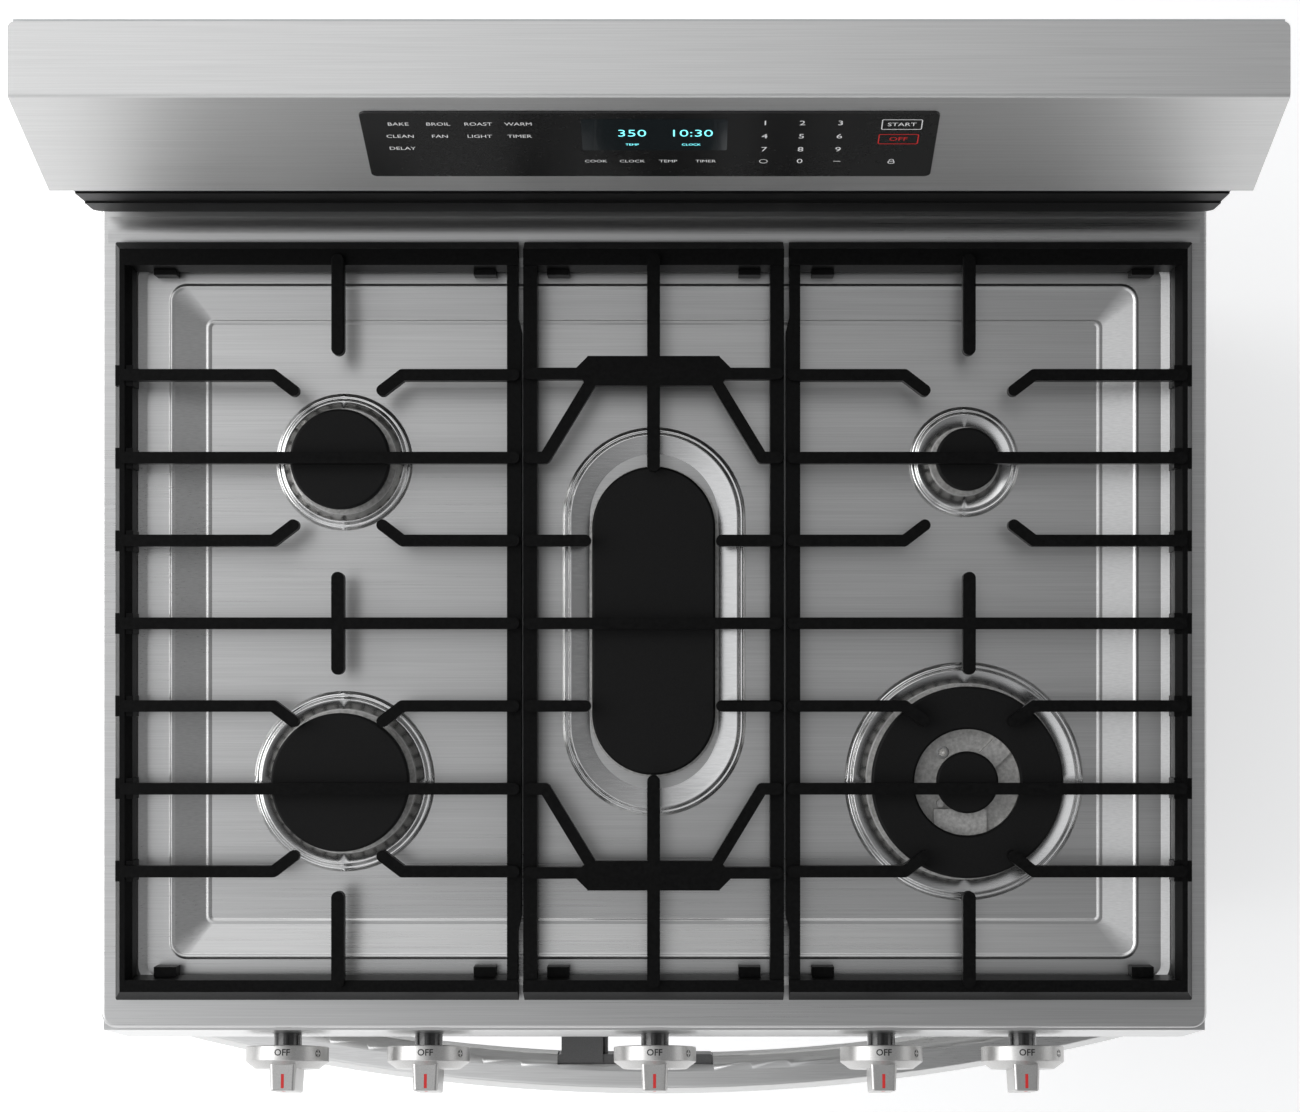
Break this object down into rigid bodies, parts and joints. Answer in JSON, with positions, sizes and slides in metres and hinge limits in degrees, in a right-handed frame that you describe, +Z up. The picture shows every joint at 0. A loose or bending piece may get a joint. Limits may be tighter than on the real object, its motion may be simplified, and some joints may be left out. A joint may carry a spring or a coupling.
{
  "type": "freestanding gas range",
  "caption": "Freestanding gas range with a stainless cooktop, cast grates over burners, a tilted control head, front knobs, an oven with a drop-down door and a storage drawer.",
  "frame": {"origin": "on the floor under the middle of the range's outer box", "axes": "+X to the cook's right, +Y to the wall behind, +Z up"},
  "size_m": [0.757, 0.6992, 1.193],
  "materials": {
    "stainless": "brushed stainless sheet, fine grain from side to side",
    "burner_boss_steel": "pressed stainless top, satin with brushed rim",
    "cast_grate": "satin black enamelled cast iron",
    "cap_enamel": "matt black enamel",
    "burner_alloy": "cast, slightly rough",
    "electrode": "white glazed ceramic, stated as plastic because the list has no ceramic",
    "gas_steel": "plain tube",
    "knob_metal": "satin silver",
    "stem_black": "glossy black",
    "side_paint": "semi-gloss dark grey paint",
    "zinc_sheet": "galvanized sheet",
    "oven_enamel": "speckled porcelain enamel",
    "rack_chrome": "bright wire",
    "gasket_weave": "woven glass rope",
    "insulation_wool": "mineral wool blanket",
    "oven_glass": "tinted, tempered",
    "inner_glass": "clear, tempered",
    "panel_glass": "gloss black",
    "board": "printed circuit board",
    "handle_grey": "dark grey moulding",
    "drawer_paint": "dark enamel",
    "motor_metal": "dull plated",
    "regulator_alloy": "die-cast, dull",
    "foot_black": "moulded foot",
    "screw_zinc": "zinc plated",
    "lamp_glass": "frosted lens"
  },
  "bodies": {
    "range_body": {"cooktop_pan": "burner_boss_steel", "burner_heads": "burner_alloy", "burner_cap_left_rear": "cap_enamel", "burner_cap_left_front": "cap_enamel", "burner_cap_right_rear": "cap_enamel", "burner_cap_center": "cap_enamel", "burner_cap_right_front_ring": "cap_enamel", "burner_cap_right_front_inner": "cap_enamel", "ignition_electrodes": "electrode", "burner_tubes": "gas_steel", "gas_manifold": "gas_steel", "control_panel": "stainless", "side_panel_left": "side_paint", "side_panel_right": "side_paint", "rear_panel": "zinc_sheet", "base_frame": "zinc_sheet", "leveling_feet": "foot_black", "oven_cavity": "oven_enamel", "oven_front_frame": "oven_enamel", "door_gasket": "gasket_weave", "oven_floor_panel": "oven_enamel", "bake_burner": "gas_steel", "broil_burner": "gas_steel", "convection_cover": "oven_enamel", "convection_motor": "motor_metal", "oven_lamp": "lamp_glass", "oven_insulation": "insulation_wool", "backguard_shell": "stainless", "backguard_trim": "stem_black", "backguard_rear_cover": "zinc_sheet", "control_glass": "panel_glass", "control_board": "board", "gas_regulator": "regulator_alloy", "hinge_receivers": "motor_metal", "panel_screws": "screw_zinc"},
    "door": {"door_outer_panel": "stainless", "door_outer_glass": "oven_glass", "door_inner_panel": "oven_enamel", "door_inner_glass": "inner_glass", "door_handle_bar": "stainless", "door_handle_center_block": "handle_grey", "door_hinge_arms": "motor_metal"},
    "drawer": {"drawer_front": "stainless", "drawer_box": "drawer_paint"},
    "upper_rack": {"oven_rack_upper": "rack_chrome"},
    "lower_rack": {"oven_rack_lower": "rack_chrome"},
    "fan": {"convection_fan": "motor_metal"},
    "left_grate": {"grate_left": "cast_grate"},
    "middle_grate": {"grate_center": "cast_grate"},
    "right_grate": {"grate_right": "cast_grate"},
    "stem_left_outer": {"valve_stem_left_outer": "stem_black"},
    "turning_knob_left_outer": {"knob_left_outer": "knob_metal"},
    "stem_left_inner": {"valve_stem_left_inner": "stem_black"},
    "turning_knob_left_inner": {"knob_left_inner": "knob_metal"},
    "stem_middle": {"valve_stem_middle": "stem_black"},
    "turning_knob_middle": {"knob_middle": "knob_metal"},
    "stem_right_inner": {"valve_stem_right_inner": "stem_black"},
    "turning_knob_right_inner": {"knob_right_inner": "knob_metal"},
    "stem_right_outer": {"valve_stem_right_outer": "stem_black"},
    "turning_knob_right_outer": {"knob_right_outer": "knob_metal"}
  },
  "joints": [
    {"name": "door_hinge", "type": "hinge", "parent": "range_body", "child": "door", "pos_m": [0, -0.27, 0.228], "axis": [1, 0, 0], "range_deg": [0, 90], "stiffness_Nm_per_rad": 12, "springref_deg": -28.65},
    {"name": "drawer_slide", "type": "slide", "parent": "range_body", "child": "drawer", "axis": [0, -1, 0], "range_m": [0, 0.42]},
    {"name": "upper_rack_slide", "type": "slide", "parent": "range_body", "child": "upper_rack", "axis": [0, -1, 0], "range_m": [0, 0.04]},
    {"name": "lower_rack_slide", "type": "slide", "parent": "range_body", "child": "lower_rack", "axis": [0, -1, 0], "range_m": [0, 0.04]},
    {"name": "fan_spin", "type": "hinge", "parent": "range_body", "child": "fan", "pos_m": [0, 0.23, 0.507], "axis": [0, 1, 0], "continuous": true},
    {"name": "left_grate_lift", "type": "slide", "parent": "range_body", "child": "left_grate", "axis": [0, 0, 1], "range_m": [0, 0.12]},
    {"name": "middle_grate_lift", "type": "slide", "parent": "range_body", "child": "middle_grate", "axis": [0, 0, 1], "range_m": [0, 0.12]},
    {"name": "right_grate_lift", "type": "slide", "parent": "range_body", "child": "right_grate", "axis": [0, 0, 1], "range_m": [0, 0.12]},
    {"name": "knob_turn_left_outer", "type": "hinge", "parent": "range_body", "child": "stem_left_outer", "pos_m": [-0.259, -0.2897, 0.851], "axis": [0, -0.9866, 0.163], "range_deg": [0, 210]},
    {"name": "knob_push_left_outer", "type": "slide", "parent": "stem_left_outer", "child": "turning_knob_left_outer", "axis": [0, 0.9866, -0.163], "range_m": [0, 0.003], "stiffness_N_per_m": 2000, "springref_m": -0.002},
    {"name": "knob_turn_left_inner", "type": "hinge", "parent": "range_body", "child": "stem_left_inner", "pos_m": [-0.1595, -0.2897, 0.851], "axis": [0, -0.9866, 0.163], "range_deg": [0, 210]},
    {"name": "knob_push_left_inner", "type": "slide", "parent": "stem_left_inner", "child": "turning_knob_left_inner", "axis": [0, 0.9866, -0.163], "range_m": [0, 0.003], "stiffness_N_per_m": 2000, "springref_m": -0.002},
    {"name": "knob_turn_middle", "type": "hinge", "parent": "range_body", "child": "stem_middle", "pos_m": [0, -0.2897, 0.851], "axis": [0, -0.9866, 0.163], "range_deg": [0, 210]},
    {"name": "knob_push_middle", "type": "slide", "parent": "stem_middle", "child": "turning_knob_middle", "axis": [0, 0.9866, -0.163], "range_m": [0, 0.003], "stiffness_N_per_m": 2000, "springref_m": -0.002},
    {"name": "knob_turn_right_inner", "type": "hinge", "parent": "range_body", "child": "stem_right_inner", "pos_m": [0.1595, -0.2897, 0.851], "axis": [0, -0.9866, 0.163], "range_deg": [0, 210]},
    {"name": "knob_push_right_inner", "type": "slide", "parent": "stem_right_inner", "child": "turning_knob_right_inner", "axis": [0, 0.9866, -0.163], "range_m": [0, 0.003], "stiffness_N_per_m": 2000, "springref_m": -0.002},
    {"name": "knob_turn_right_outer", "type": "hinge", "parent": "range_body", "child": "stem_right_outer", "pos_m": [0.259, -0.2897, 0.851], "axis": [0, -0.9866, 0.163], "range_deg": [0, 210]},
    {"name": "knob_push_right_outer", "type": "slide", "parent": "stem_right_outer", "child": "turning_knob_right_outer", "axis": [0, 0.9866, -0.163], "range_m": [0, 0.003], "stiffness_N_per_m": 2000, "springref_m": -0.002}
  ]
}
